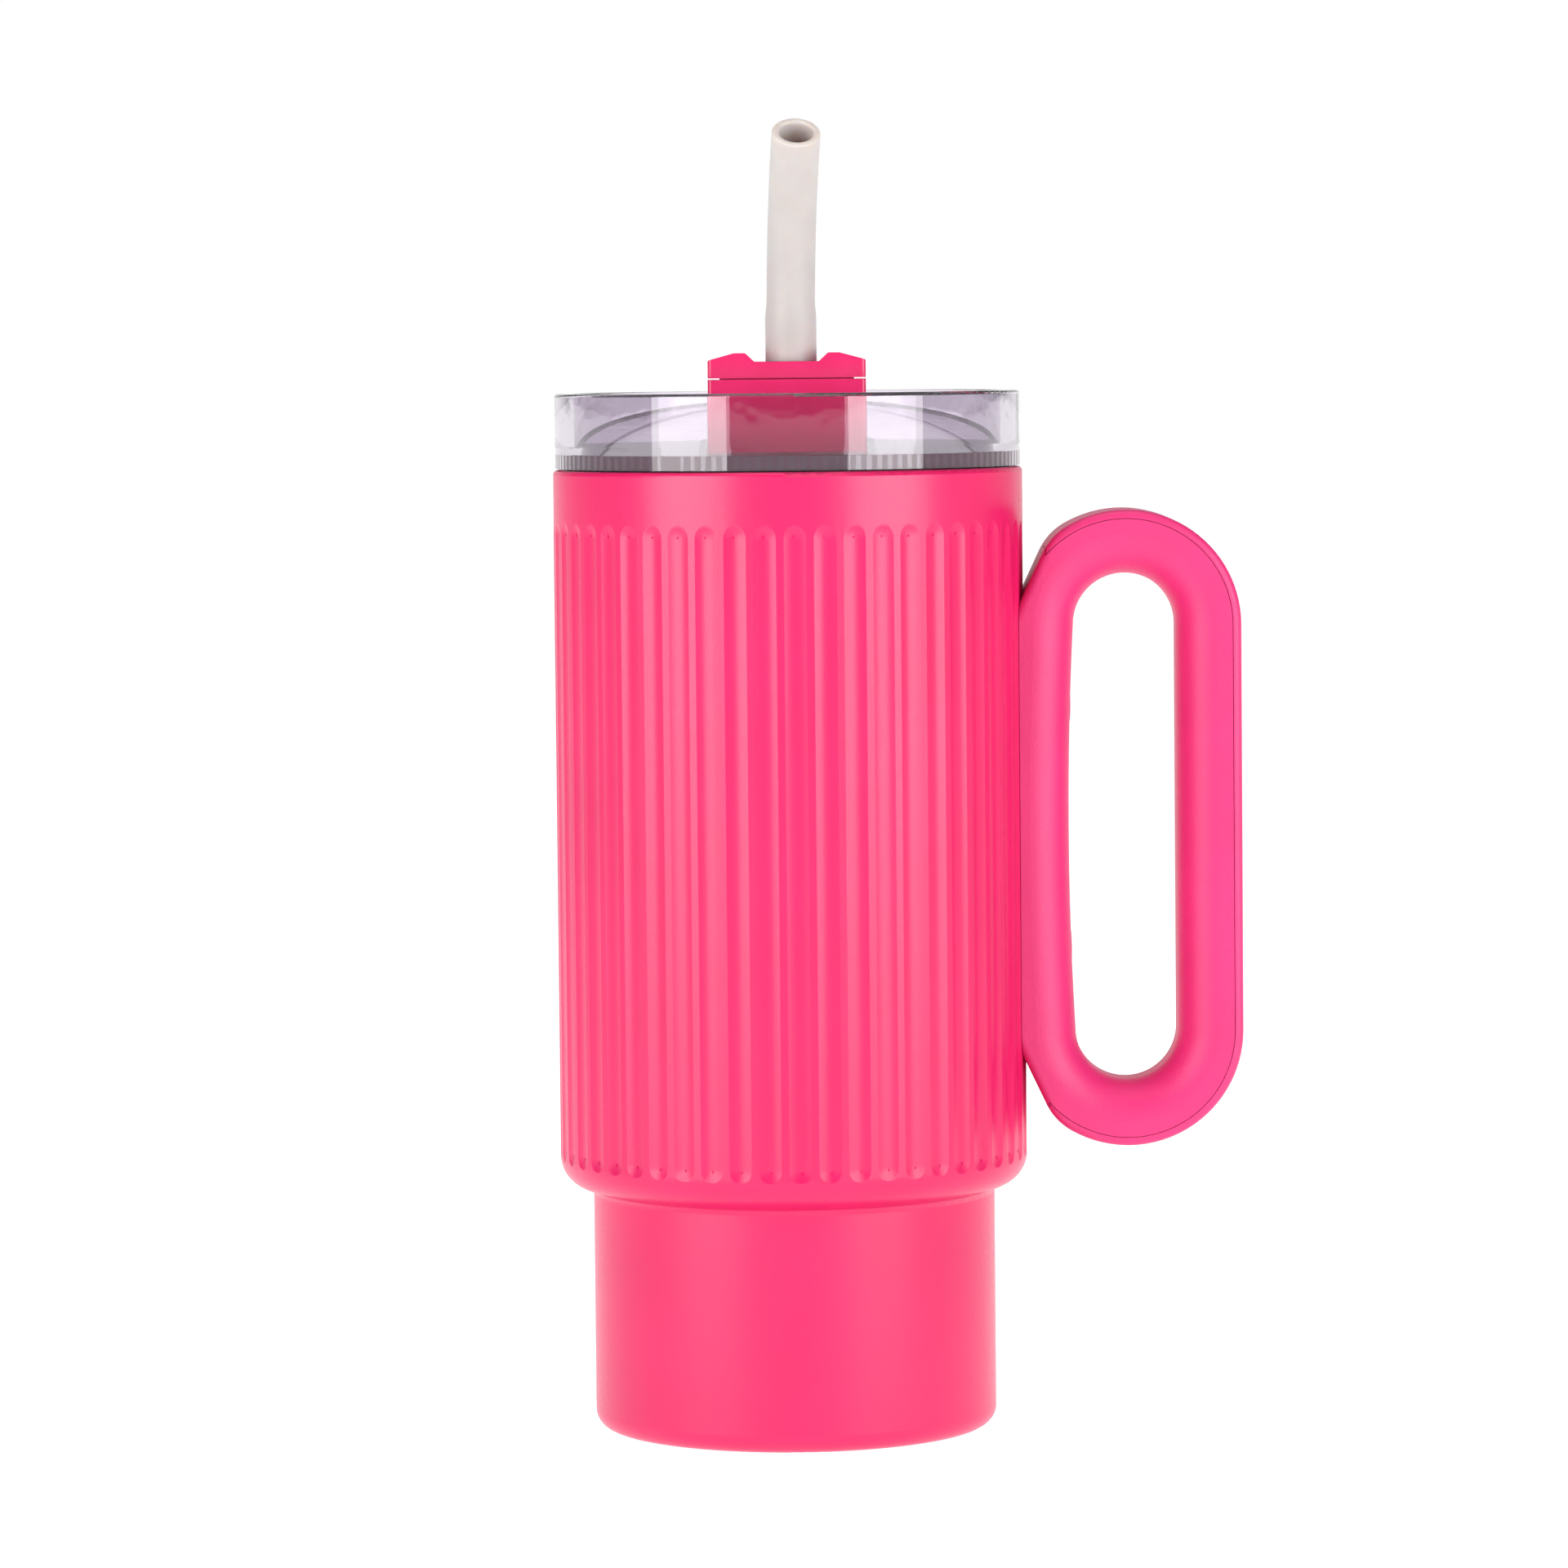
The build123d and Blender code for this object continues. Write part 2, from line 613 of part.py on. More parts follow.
with BuildPart() as spout_housing:
    floor_y = housing_bottom_z - pivot_z
    with BuildSketch(pivot.offset(-half_width)):
        with BuildLine():
            Polyline(
                (0, cheek_rise), (-housing_front, cheek_rise), (-housing_front, floor_y),
                (housing_back, floor_y), (housing_back, -barrel_radius - running),
                (cheek_rise, -barrel_radius - running), (cheek_rise, 0),
            )
            ThreePointArc(
                (cheek_rise, 0), (cheek_rise * sin(pi / 4), cheek_rise * cos(pi / 4)), (0, cheek_rise)
            )
        make_face()
    extrude(amount=2 * half_width)
    add(well_block(0, housing_bottom_z), mode=Mode.INTERSECT)
    add(trough(running), mode=Mode.SUBTRACT)
    with BuildSketch(pivot.offset(-half_width)):
        Circle(pin_radius)
    extrude(amount=2 * half_width, mode=Mode.SUBTRACT)
    with BuildSketch(Plane.XY.offset(housing_bottom_z)):
        with Locations((0, pivot_y)):
            Circle(port_radius_top)
    extrude(amount=barrel_radius, mode=Mode.SUBTRACT)
    with BuildSketch(Plane.XY.offset(pivot_z - barrel_radius - valve_seat_depth)):
        with Locations((0, pivot_y)):
            Circle(valve_seat_radius)
    extrude(amount=barrel_radius, mode=Mode.SUBTRACT)
save(spout_housing.part, "spout_housing")

with BuildPart() as valve_seat:
    with BuildSketch(Plane.XY.offset(pivot_z - barrel_radius - valve_seat_depth)):
        with Locations((0, pivot_y)):
            Circle(valve_seat_radius)
            Circle(port_radius_top, mode=Mode.SUBTRACT)
    extrude(amount=barrel_radius)
    add(trough(running + fit), mode=Mode.SUBTRACT)
save(valve_seat.part, "valve_seat")

with BuildPart() as well_gasket:
    with BuildSketch(Plane.XY.offset(well_floor_z)):
        with Locations((0, housing_middle_y)):
            RectangleRounded(well_gasket_width, well_gasket_length, well_gasket_corner)
        with Locations((0, pivot_y)):
            Circle(straw_bore_radius, mode=Mode.SUBTRACT)
    extrude(amount=well_gasket_height)
save(well_gasket.part, "well_gasket")

carrier_half_width = inner_half_width - side_clearance
with BuildPart() as hinge_pins:
    for side in (-1, 1):
        with BuildSketch(pivot.offset(side * half_width)):
            Circle(pin_radius)
        extrude(amount=-side * (half_width - carrier_half_width + pin_depth))
save(hinge_pins.part, "hinge_pins")

# ---------------------------------------------------------------- the carrier and the spout
with BuildPart() as carrier_cap:
    cap_bottom = cheek_rise + cap_gap
    cap_back = Plane(origin=(0, pivot_y + barrel_radius, pivot_z), x_dir=(1, 0, 0), z_dir=(0, -1, 0))
    with BuildSketch(cap_back):
        with BuildLine():
            right = [
                (half_width, cap_bottom), (half_width, cap_corner_rise), (horn_outer_x, horn_rise),
                (horn_inner_x, horn_rise), (dip_half_width, dip_rise),
            ]
            left = [(-x, y) for x, y in reversed(right)]
            Polyline(*right, *left, close=True)
        make_face()
        crests = [corner(x, horn_rise) for x in (-horn_outer_x, -horn_inner_x, horn_inner_x, horn_outer_x)]
        fillet(crests, horn_fillet)
        fillet([corner(x, cap_corner_rise) for x in (-half_width, half_width)], cap_fillet)
    cap_length = barrel_radius + housing_front
    extrude(amount=cap_length)
    with BuildSketch(Plane.XY.offset(pivot_z)):
        with Locations((0, pivot_y + (barrel_radius - housing_front) / 2)):
            RectangleRounded(housing_width, cap_length, housing_corner)
    extrude(amount=2 * horn_rise, mode=Mode.INTERSECT)

with BuildPart() as spout_carrier:
    with BuildSketch(pivot.offset(-carrier_half_width)):
        Circle(barrel_radius)
        Rectangle(2 * barrel_radius, cap_bottom + fit, align=(Align.CENTER, Align.MIN))
    extrude(amount=2 * carrier_half_width)
    add(carrier_cap.part)
    for side in (-1, 1):
        with BuildSketch(pivot.offset(side * carrier_half_width)):
            Circle(pin_radius + pin_clearance)
        extrude(amount=-side * (pin_depth + 2 * fit), mode=Mode.SUBTRACT)
    with BuildSketch(Plane.XY.offset(pivot_z + spout_seat_rise)):
        with Locations((spout_offset, pivot_y)):
            Circle(spout_root_radius)
    extrude(amount=cup_height, mode=Mode.SUBTRACT)
    with BuildSketch(Plane.XY.offset(pivot_z - 2 * barrel_radius)):
        with Locations((0, pivot_y)):
            Circle(port_radius_top)
    extrude(amount=3 * barrel_radius, mode=Mode.SUBTRACT)
save(spout_carrier.part, "spout_carrier")


def bend_plane(angle):
    """Plane across the spout where its bend has turned by that many degrees."""
    turn, yaw = radians(angle), radians(spout_yaw)
    lean = spout_bend_radius * (1 - cos(turn))
    rise = spout_bend_rise + spout_bend_radius * sin(turn)
    return Plane(
        origin=(spout_offset + lean * sin(yaw), pivot_y - lean * cos(yaw), pivot_z + rise),
        x_dir=(cos(yaw), sin(yaw), 0),
        z_dir=(sin(turn) * sin(yaw), -sin(turn) * cos(yaw), cos(turn)),
    )


def bend_axis():
    """The axis that the spout's bend turns about."""
    yaw = radians(spout_yaw)
    hub = (
        spout_offset + spout_bend_radius * sin(yaw),
        pivot_y - spout_bend_radius * cos(yaw),
        pivot_z + spout_bend_rise,
    )
    return Axis(hub, (cos(yaw), sin(yaw), 0))


spout_seat = bend_plane(0).offset(spout_seat_rise - spout_bend_rise)
root_length = spout_bend_rise - spout_seat_rise
with BuildPart() as spout:
    with BuildSketch(spout_seat):
        Circle(spout_root_radius)
    extrude(amount=root_length)
    with BuildSketch(bend_plane(0)):
        Circle(spout_root_radius)
    revolve(axis=bend_axis(), revolution_arc=spout_root_end)
    with BuildSketch(bend_plane(spout_root_end)):
        Circle(spout_root_radius)
    with BuildSketch(bend_plane(spout_taper_end)):
        Circle(spout_radius)
    loft()
    with BuildSketch(bend_plane(spout_root_end)):
        Circle(spout_radius)
    revolve(axis=bend_axis(), revolution_arc=spout_bend - spout_root_end)
    with BuildSketch(spout_seat):
        Circle(spout_bore_radius)
    extrude(amount=root_length, mode=Mode.SUBTRACT)
    with BuildSketch(bend_plane(0)):
        Circle(spout_bore_radius)
    revolve(axis=bend_axis(), revolution_arc=spout_bend, mode=Mode.SUBTRACT)
    tip = bend_plane(spout_bend)
    fillet(edges().sort_by_distance(tip.origin)[:2], spout_tip_fillet)
save(spout.part, "spout")
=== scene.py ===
# %% [markdown]
# # An insulated travel mug with a clear lid and a flip spout
# The mug is a double-walled steel cup with a pink powder coat, a two-part moulded handle, a smoke-clear
# lid and a soft silicone spout that folds back. The engineering model is loaded first and never changed.
# Where its shape is right, a piece only gets a better material. Where the real piece is softer or more
# rounded than the engineering solid, a new piece is modelled here and takes its place.

# %% Load the engineering model
import json
from math import atan2, cos, pi, radians, sin, tan

import bmesh
import bpy
from mathutils import Matrix, Vector


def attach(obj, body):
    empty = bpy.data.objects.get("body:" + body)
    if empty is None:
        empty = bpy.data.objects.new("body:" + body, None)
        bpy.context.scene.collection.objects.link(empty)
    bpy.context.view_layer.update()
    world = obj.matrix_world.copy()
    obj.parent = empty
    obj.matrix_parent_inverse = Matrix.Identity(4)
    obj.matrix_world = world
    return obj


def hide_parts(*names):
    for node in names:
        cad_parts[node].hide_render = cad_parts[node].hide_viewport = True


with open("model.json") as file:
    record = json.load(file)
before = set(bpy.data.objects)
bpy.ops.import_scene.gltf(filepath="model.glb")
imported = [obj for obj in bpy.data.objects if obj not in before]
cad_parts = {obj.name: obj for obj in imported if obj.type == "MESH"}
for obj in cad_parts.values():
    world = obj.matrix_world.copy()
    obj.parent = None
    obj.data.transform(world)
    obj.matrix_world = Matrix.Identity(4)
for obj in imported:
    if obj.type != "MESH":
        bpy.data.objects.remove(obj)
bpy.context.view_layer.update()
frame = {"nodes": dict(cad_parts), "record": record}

MM = 0.001

# %% [markdown]
# ## Colour and node helpers
# Colours are written as the hex values a paint chart would give. The renderer works in linear light, so
# one function converts them. A second function adds one node with its settings, values and links.

# %% Colour and node helpers
def linear(code):
    """The linear colour of an sRGB hex value such as "D72761"."""
    parts = [int(code[i:i + 2], 16) / 255 for i in (0, 2, 4)]
    return tuple(c / 12.92 if c <= 0.04045 else ((c + 0.055) / 1.055) ** 2.4 for c in parts) + (1.0,)


def node(tree, kind, sockets=None, **settings):
    """Adds a node. sockets gives each input a value, or another node's output to follow."""
    made = tree.nodes.new(kind)
    for name, value in settings.items():
        setattr(made, name, value)
    for name, value in (sockets or {}).items():
        if isinstance(value, bpy.types.NodeSocket):
            tree.links.new(value, made.inputs[name])
        else:
            made.inputs[name].default_value = value
    return made

print("white is", linear("FFFFFF"))

# %% [markdown]
# ## The camera
# A long lens from about 1.3 m keeps the cup's sides nearly parallel. It stands a little above the lid, so
# the rims are seen as thin ellipses.

# %% Place the camera
LENS_HEIGHT = 214.6 * MM
LENS_DISTANCE = 1334 * MM
LENS_OFFSET = -1.3 * MM
LOOK_DOWN = radians(3.71)
ROLL = radians(-0.55)
LENS, SENSOR = 154.3, 36.0

camera_data = bpy.data.cameras.new("long_lens")
camera_data.lens, camera_data.sensor_width = LENS, SENSOR
camera = bpy.data.objects.new("long_lens", camera_data)
bpy.context.collection.objects.link(camera)
aim = Matrix.Rotation(pi / 2 - LOOK_DOWN, 4, "X") @ Matrix.Rotation(ROLL, 4, "Z")
camera.matrix_world = Matrix.Translation((LENS_OFFSET, -LENS_DISTANCE, LENS_HEIGHT)) @ aim
bpy.context.scene.camera = camera
print("camera at", [round(v, 4) for v in camera.location])

# %% [markdown]
# ## Light and floor
# Two tall soft panels, one on each side of the camera, give the powder coat its two upright highlights.
# A panel overhead lights the handle's bends, and a pale floor fills the shadows from below. A lit white
# sheet hangs behind the mug, and the rest of the room is darker, which draws the dark edges in the clear
# lid. The camera itself sees white all round. The colours are shown without a film curve, because a curve
# would dull a saturated pink.

# %% Make the panels, the surround and the floor
def panel(name, azimuth, distance, height, size, brightness):
    """A flat light facing the cup. Its power follows from its area, so brightness is what it looks like."""
    data = bpy.data.lights.new(name, "AREA")
    data.shape, data.size, data.size_y = "RECTANGLE", *size
    data.energy = brightness * pi * size[0] * size[1]
    light = bpy.data.objects.new(name, data)
    bpy.context.collection.objects.link(light)
    spot = Vector((sin(azimuth) * distance, -cos(azimuth) * distance, height))
    light.location = spot
    light.rotation_euler = (Vector((0, 0, MIDDLE)) - spot).to_track_quat("-Z", "Y").to_euler()


MIDDLE = 0.12
SIDE_ANGLE = radians(49)
SIDE_DISTANCE, SIDE_HEIGHT = 1.0, 0.22
SIDE_SIZE = (0.72, 0.95)
SIDE_BRIGHTNESS = 5.3
TOP_DISTANCE, TOP_HEIGHT = 0.15, 1.2
TOP_SIZE = (1.0, 1.0)
TOP_BRIGHTNESS = 1.5
for name, azimuth in (("left_panel", -SIDE_ANGLE), ("right_panel", SIDE_ANGLE)):
    panel(name, azimuth, SIDE_DISTANCE, SIDE_HEIGHT, SIDE_SIZE, SIDE_BRIGHTNESS)
panel("top_panel", 0.0, TOP_DISTANCE, TOP_HEIGHT, TOP_SIZE, TOP_BRIGHTNESS)

scene = bpy.context.scene
scene.view_settings.view_transform = "Standard"
world = bpy.data.worlds.new("white_surround")
scene.world = world
world.use_nodes = True
sky = world.node_tree
background = sky.nodes["Background"]
ROOM_LEVEL, SHEET_LEVEL = 0.14, 1.0
SHEET_EDGE, SHEET_FULL = 0.75, 0.95
direction = node(sky, "ShaderNodeTexCoord").outputs["Generated"]
backward = node(sky, "ShaderNodeSeparateXYZ", {0: direction}).outputs["Y"]
sheet = node(
    sky, "ShaderNodeMapRange",
    {
        "Value": backward, "From Min": SHEET_EDGE, "From Max": SHEET_FULL,
        "To Min": ROOM_LEVEL, "To Max": SHEET_LEVEL,
    },
    interpolation_type="SMOOTHSTEP",
).outputs[0]
camera_ray = node(sky, "ShaderNodeLightPath").outputs["Is Camera Ray"]
seen = node(sky, "ShaderNodeMath", {0: camera_ray, 1: sheet}, operation="MAXIMUM").outputs[0]
sky.links.new(seen, background.inputs["Strength"])
background.inputs["Color"].default_value = linear("FFFFFF")

FLOOR_SIZE, FLOOR_DROP = 40, 0.0002
bpy.ops.object.select_all(action="DESELECT")
bpy.ops.mesh.primitive_plane_add(size=FLOOR_SIZE, location=(0, 0, -FLOOR_DROP))
floor = bpy.context.object
floor.name = "studio_floor"

# %% Material helpers
def start(name, **values):
    """A new material, its node tree, its shader, and the place of each point on the piece in metres."""
    made = bpy.data.materials.new(name)
    made.use_nodes = True
    tree = made.node_tree
    shader = tree.nodes["Principled BSDF"]
    for socket, value in values.items():
        shader.inputs[socket.replace("_", " ")].default_value = value
    place = node(tree, "ShaderNodeTexCoord").outputs["Object"]
    return made, tree, shader, place


def grain(tree, place, size, detail=2.0, rough=0.5):
    """An even random pattern whose blotches are about size across."""
    return node(
        tree, "ShaderNodeTexNoise",
        {"Vector": place, "Scale": 1 / size, "Detail": detail, "Roughness": rough},
    ).outputs["Fac"]


def shades(tree, pattern, low, high, dark, light):
    """Turns a pattern into a colour between two hex values, from its low to its high end."""
    share = node(
        tree, "ShaderNodeMapRange", {"Value": pattern, "From Min": low, "From Max": high}
    ).outputs[0]
    return node(
        tree, "ShaderNodeMix", {0: share, 6: linear(dark), 7: linear(light)}, data_type="RGBA"
    ).outputs[2]


def span(tree, pattern, low, high, bottom, top):
    """Turns a pattern into a number between bottom and top."""
    return node(
        tree, "ShaderNodeMapRange",
        {"Value": pattern, "From Min": low, "From Max": high, "To Min": bottom, "To Max": top},
    ).outputs[0]


def relief(tree, shader, pattern, depth, strength=1.0, under=None):
    """Raises and lowers the surface by a pattern, depth metres from its lowest to its highest."""
    sockets = {"Height": pattern, "Distance": depth, "Strength": strength}
    if under is not None:
        sockets["Normal"] = under
    normal = node(tree, "ShaderNodeBump", sockets).outputs[0]
    tree.links.new(normal, shader.inputs["Normal"])
    return normal


def drive(tree, shader, socket, source):
    """Links a pattern to one of the shader's sockets."""
    tree.links.new(source, shader.inputs[socket])


# The floor is a light table: opal acrylic lit from below, so that it stays white as far as it is seen.
TABLE_GLOW = 0.94
made, tree, shader, place = start("opal_acrylic_light_table", Roughness=0.9)
shader.inputs["Emission Color"].default_value = linear("FFFFFF")
shader.inputs["Emission Strength"].default_value = TABLE_GLOW
clouds = grain(tree, place, 80 * MM)
drive(tree, shader, "Base Color", shades(tree, clouds, 0.3, 0.7, "C4C4C4", "C8C8C8"))
floor.data.materials.append(made)
print("made", made.name)

# %% [markdown]
# ## Powder coat on steel
# The cup is sprayed with dry polyester powder and baked. The powder melts into a satin skin about 0.08 mm
# thick that keeps a fine pebbled grain, a little like orange peel. It is a coloured plastic, so it is not
# metallic, and its highlights stay nearly white. The grain is about 0.55 mm across.

# %% Powder coat
powder_coat, tree, shader, place = start("hot_pink_powder_coat", IOR=1.47)
pebbles = grain(tree, place, 0.55 * MM, detail=3.0)
peel = grain(tree, place, 3.2 * MM)
drift = grain(tree, place, 26 * MM)
drive(tree, shader, "Base Color", shades(tree, drift, 0.35, 0.65, "CC1356", "D2165A"))
drive(tree, shader, "Roughness", span(tree, pebbles, 0.35, 0.65, 0.28, 0.35))
low_relief = relief(tree, shader, peel, 0.012 * MM)
relief(tree, shader, pebbles, 0.014 * MM, under=low_relief)
print("made", powder_coat.name)

# %% [markdown]
# ## Moulded plastic for the handle
# The handle is injection moulded in polypropylene. The mould was spark eroded, which leaves a fine sandy
# texture that sparkles where a light grazes it. The texture is drawn 0.42 mm across and deeper than it is,
# because a finer one is lost in the picture.

# %% Handle plastic
handle_plastic, tree, shader, place = start("spark_textured_polypropylene", IOR=1.49)
sand = grain(tree, place, 0.42 * MM, detail=4.0, rough=0.6)
flow = grain(tree, place, 18 * MM)
drive(tree, shader, "Base Color", shades(tree, flow, 0.35, 0.65, "D0266B", "D62970"))
drive(tree, shader, "Roughness", span(tree, sand, 0.3, 0.7, 0.5, 0.36))
relief(tree, shader, sand, 0.075 * MM)
print("made", handle_plastic.name)

# %% [markdown]
# ## Moulded plastic for the spout's housing
# The housing and the carrier are small close-fitting mouldings from smoother tools. They are glossier than
# the handle, a shade deeper, and only faintly wavy where the plastic shrank.

# %% Housing plastic
spout_plastic, tree, shader, place = start("satin_moulded_abs", IOR=1.53)
fine = grain(tree, place, 0.3 * MM, detail=3.0)
sink = grain(tree, place, 7 * MM)
drive(tree, shader, "Base Color", shades(tree, sink, 0.35, 0.65, "DC1E60", "E22266"))
drive(tree, shader, "Roughness", span(tree, fine, 0.3, 0.7, 0.27, 0.36))
under = relief(tree, shader, sink, 0.03 * MM)
relief(tree, shader, fine, 0.004 * MM, under=under)
print("made", spout_plastic.name)

# %% [markdown]
# ## Smoke-clear copolyester
# The lid is moulded in a tough clear copolyester with a faint grey-violet dye. It is polished, so it shows
# sharp reflections and bends light much as glass does. The dye takes a little light at each surface, so a
# place where several walls line up looks darker than a single wall.

# %% Clear lid plastic
smoke_clear_plastic, tree, shader, place = start("smoke_clear_copolyester", IOR=1.54)
shader.inputs["Transmission Weight"].default_value = 1.0
shader.inputs["Roughness"].default_value = 0.015
drive(tree, shader, "Base Color", shades(tree, grain(tree, place, 20 * MM), 0.35, 0.65, "DCD4DF", "E0D8E3"))
relief(tree, shader, grain(tree, place, 9 * MM), 0.01 * MM)
print("made", smoke_clear_plastic.name)

# %% [markdown]
# ## Silicone rubbers
# The spout is ivory silicone: soft, satin, and slightly see-through, so light spreads inside its wall and
# the bore glows warm. The gaskets are the same rubber with grey pigment, and the vent is nearly clear.

# %% Silicones
ivory_silicone, tree, shader, place = start("ivory_food_silicone", IOR=1.41)
haze = grain(tree, place, 6 * MM)
bloom = grain(tree, place, 0.4 * MM, detail=3.0)
shader.inputs["Subsurface Weight"].default_value = 0.85
shader.inputs["Subsurface Radius"].default_value = (1.0, 0.62, 0.38)
shader.inputs["Subsurface Scale"].default_value = 3.5 * MM
drive(tree, shader, "Base Color", shades(tree, haze, 0.35, 0.65, "BBB6B4", "BFBAB8"))
drive(tree, shader, "Roughness", span(tree, bloom, 0.3, 0.7, 0.42, 0.52))
relief(tree, shader, bloom, 0.006 * MM)

dark_silicone, tree, shader, place = start("grey_pigmented_silicone", IOR=1.41)
bloom = grain(tree, place, 0.4 * MM, detail=3.0)
drive(tree, shader, "Base Color", shades(tree, bloom, 0.3, 0.7, "6B4B58", "755462"))
drive(tree, shader, "Roughness", span(tree, bloom, 0.3, 0.7, 0.45, 0.58))
relief(tree, shader, bloom, 0.008 * MM)

clear_silicone, tree, shader, place = start("translucent_silicone", IOR=1.41)
haze = grain(tree, place, 1.5 * MM)
shader.inputs["Subsurface Weight"].default_value = 0.7
shader.inputs["Subsurface Radius"].default_value = (1.0, 0.95, 0.9)
shader.inputs["Subsurface Scale"].default_value = 1.5 * MM
drive(tree, shader, "Base Color", shades(tree, haze, 0.35, 0.65, "C9C8C8", "D6D5D5"))
drive(tree, shader, "Roughness", span(tree, haze, 0.3, 0.7, 0.3, 0.4))
relief(tree, shader, haze, 0.01 * MM)
print("made", ivory_silicone.name, dark_silicone.name, clear_silicone.name)

# %% [markdown]
# ## Steel, seal and getter
# The liner is drawn from 18/8 stainless steel and electropolished, which leaves it bright with a faint
# drawn streak round the axis. The seal in the base is a drop of fused glass frit, and the getter is a
# sintered zirconium disc that keeps the vacuum clean.

# %% Metals and the small inner parts
bare_steel, tree, shader, place = start("electropolished_stainless_steel", Metallic=1.0)
stretch = node(tree, "ShaderNodeMapping", {"Vector": place, "Scale": (1, 1, 14)}).outputs[0]
streaks = grain(tree, stretch, 9 * MM, detail=5.0, rough=0.65)
drive(tree, shader, "Base Color", shades(tree, streaks, 0.3, 0.7, "BDBAB6", "CBC8C5"))
drive(tree, shader, "Roughness", span(tree, streaks, 0.3, 0.7, 0.2, 0.33))
relief(tree, shader, streaks, 0.004 * MM)

seal_glass, tree, shader, place = start("fused_glass_frit", IOR=1.55)
beads = grain(tree, place, 0.5 * MM, detail=3.0)
drive(tree, shader, "Base Color", shades(tree, beads, 0.3, 0.7, "4A4743", "5A5650"))
drive(tree, shader, "Roughness", span(tree, beads, 0.3, 0.7, 0.15, 0.35))
relief(tree, shader, beads, 0.03 * MM)

getter_alloy, tree, shader, place = start("sintered_zirconium_alloy", Metallic=1.0)
powder = grain(tree, place, 0.25 * MM, detail=4.0, rough=0.7)
drive(tree, shader, "Base Color", shades(tree, powder, 0.3, 0.7, "6E6C6D", "8A8888"))
drive(tree, shader, "Roughness", span(tree, powder, 0.3, 0.7, 0.6, 0.8))
relief(tree, shader, powder, 0.03 * MM)

straw_plastic, tree, shader, place = start("natural_polypropylene", IOR=1.49)
haze = grain(tree, place, 4 * MM)
shader.inputs["Subsurface Weight"].default_value = 0.5
shader.inputs["Subsurface Radius"].default_value = (1.0, 0.95, 0.88)
shader.inputs["Subsurface Scale"].default_value = 1.0 * MM
drive(tree, shader, "Base Color", shades(tree, haze, 0.35, 0.65, "DAD7D2", "E2E0DC"))
drive(tree, shader, "Roughness", span(tree, haze, 0.3, 0.7, 0.3, 0.4))
relief(tree, shader, haze, 0.01 * MM)
print("made", bare_steel.name, seal_glass.name, getter_alloy.name, straw_plastic.name)

# %% [markdown]
# ## Give every engineering solid its finish
# Each solid belongs to one material slot in the record. One table links the slots to the finishes made
# above, and the new pieces below use the same table.

# %% Finish the engineering solids
FINISH = {
    "powder_coat": powder_coat, "handle_plastic": handle_plastic, "spout_plastic": spout_plastic,
    "smoke_clear_plastic": smoke_clear_plastic, "ivory_silicone": ivory_silicone,
    "dark_silicone": dark_silicone, "clear_silicone": clear_silicone, "bare_steel": bare_steel,
    "seal_glass": seal_glass, "getter_alloy": getter_alloy, "straw_plastic": straw_plastic,
}
SLOT_OF = {row["node"]: row["material_slot"] for row in frame["record"]["subparts"]}
for name, solid in frame["nodes"].items():
    for place_for_material in solid.material_slots:
        place_for_material.material = FINISH[SLOT_OF[name]]
print(len(SLOT_OF), "solids finished")

# %% [markdown]
# ## Rounding the small mouldings
# A mould never leaves a knife edge: the housing and the carrier have edges rounded by a few tenths of a
# millimetre, and those thin roundings catch the light. The engineering solids are sharp, so each is
# copied, its loose triangles are merged at their corners, and a bevel rounds its edges.

# %% Copy a solid and round its edges
def only(piece):
    """Selects one piece and nothing else."""
    bpy.ops.object.select_all(action="DESELECT")
    piece.select_set(True)
    bpy.context.view_layer.objects.active = piece


def apply_all(piece):
    """Applies every modifier on a piece."""
    only(piece)
    for modifier in list(piece.modifiers):
        bpy.ops.object.modifier_apply(modifier=modifier.name)


def hand_over(piece, name, finish_slot, body, *solids):
    """Names a finished piece, gives it its finish, and lets it stand for its engineering solids."""
    piece.name = piece.data.name = name
    piece.data.materials.clear()
    piece.data.materials.append(FINISH[finish_slot])
    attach(piece, body)
    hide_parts(*solids)
    print(name, len(piece.data.polygons), "faces")


def rounded_copy(solid_name, width, segments=3, sharp=30):
    """A copy of a solid, merged at its corners, with its sharp edges rounded."""
    piece = bpy.data.objects.new(solid_name + "_copy", frame["nodes"][solid_name].data.copy())
    bpy.context.collection.objects.link(piece)
    only(piece)
    bpy.ops.object.mode_set(mode="EDIT")
    bpy.ops.mesh.select_all(action="SELECT")
    bpy.ops.mesh.remove_doubles(threshold=0.001 * MM)
    bpy.ops.object.mode_set(mode="OBJECT")
    if piece.data.has_custom_normals:
        bpy.ops.mesh.customdata_custom_splitnormals_clear()
    edge = piece.modifiers.new("round_edges", "BEVEL")
    edge.width, edge.segments, edge.limit_method, edge.angle_limit = width, segments, "ANGLE", radians(sharp)
    edge.use_clamp_overlap = True
    apply_all(piece)
    bpy.ops.object.shade_smooth_by_angle(angle=radians(sharp))
    return piece


EDGE_ROUND = 0.35 * MM
for solid_name, name, body in (
    ("spout_housing", "housing_moulding", "lid"),
    ("spout_carrier", "carrier_moulding", "flip_spout"),
):
    hand_over(rounded_copy(solid_name, EDGE_ROUND), name, "spout_plastic", body, solid_name)

# %% [markdown]
# ## The spout
# The real spout is a bent silicone tube: a thicker root that grips the carrier, a gentle bend towards the
# drinker, and a soft rounded lip. A circle is drawn at the root, extruded straight up, and spun round the
# bend's centre. The rings past the root are drawn in a little, Solidify gives the wall its thickness, and
# a bevel rounds the lip. A swept curve would also work, but spinning keeps the rings square to the bend.

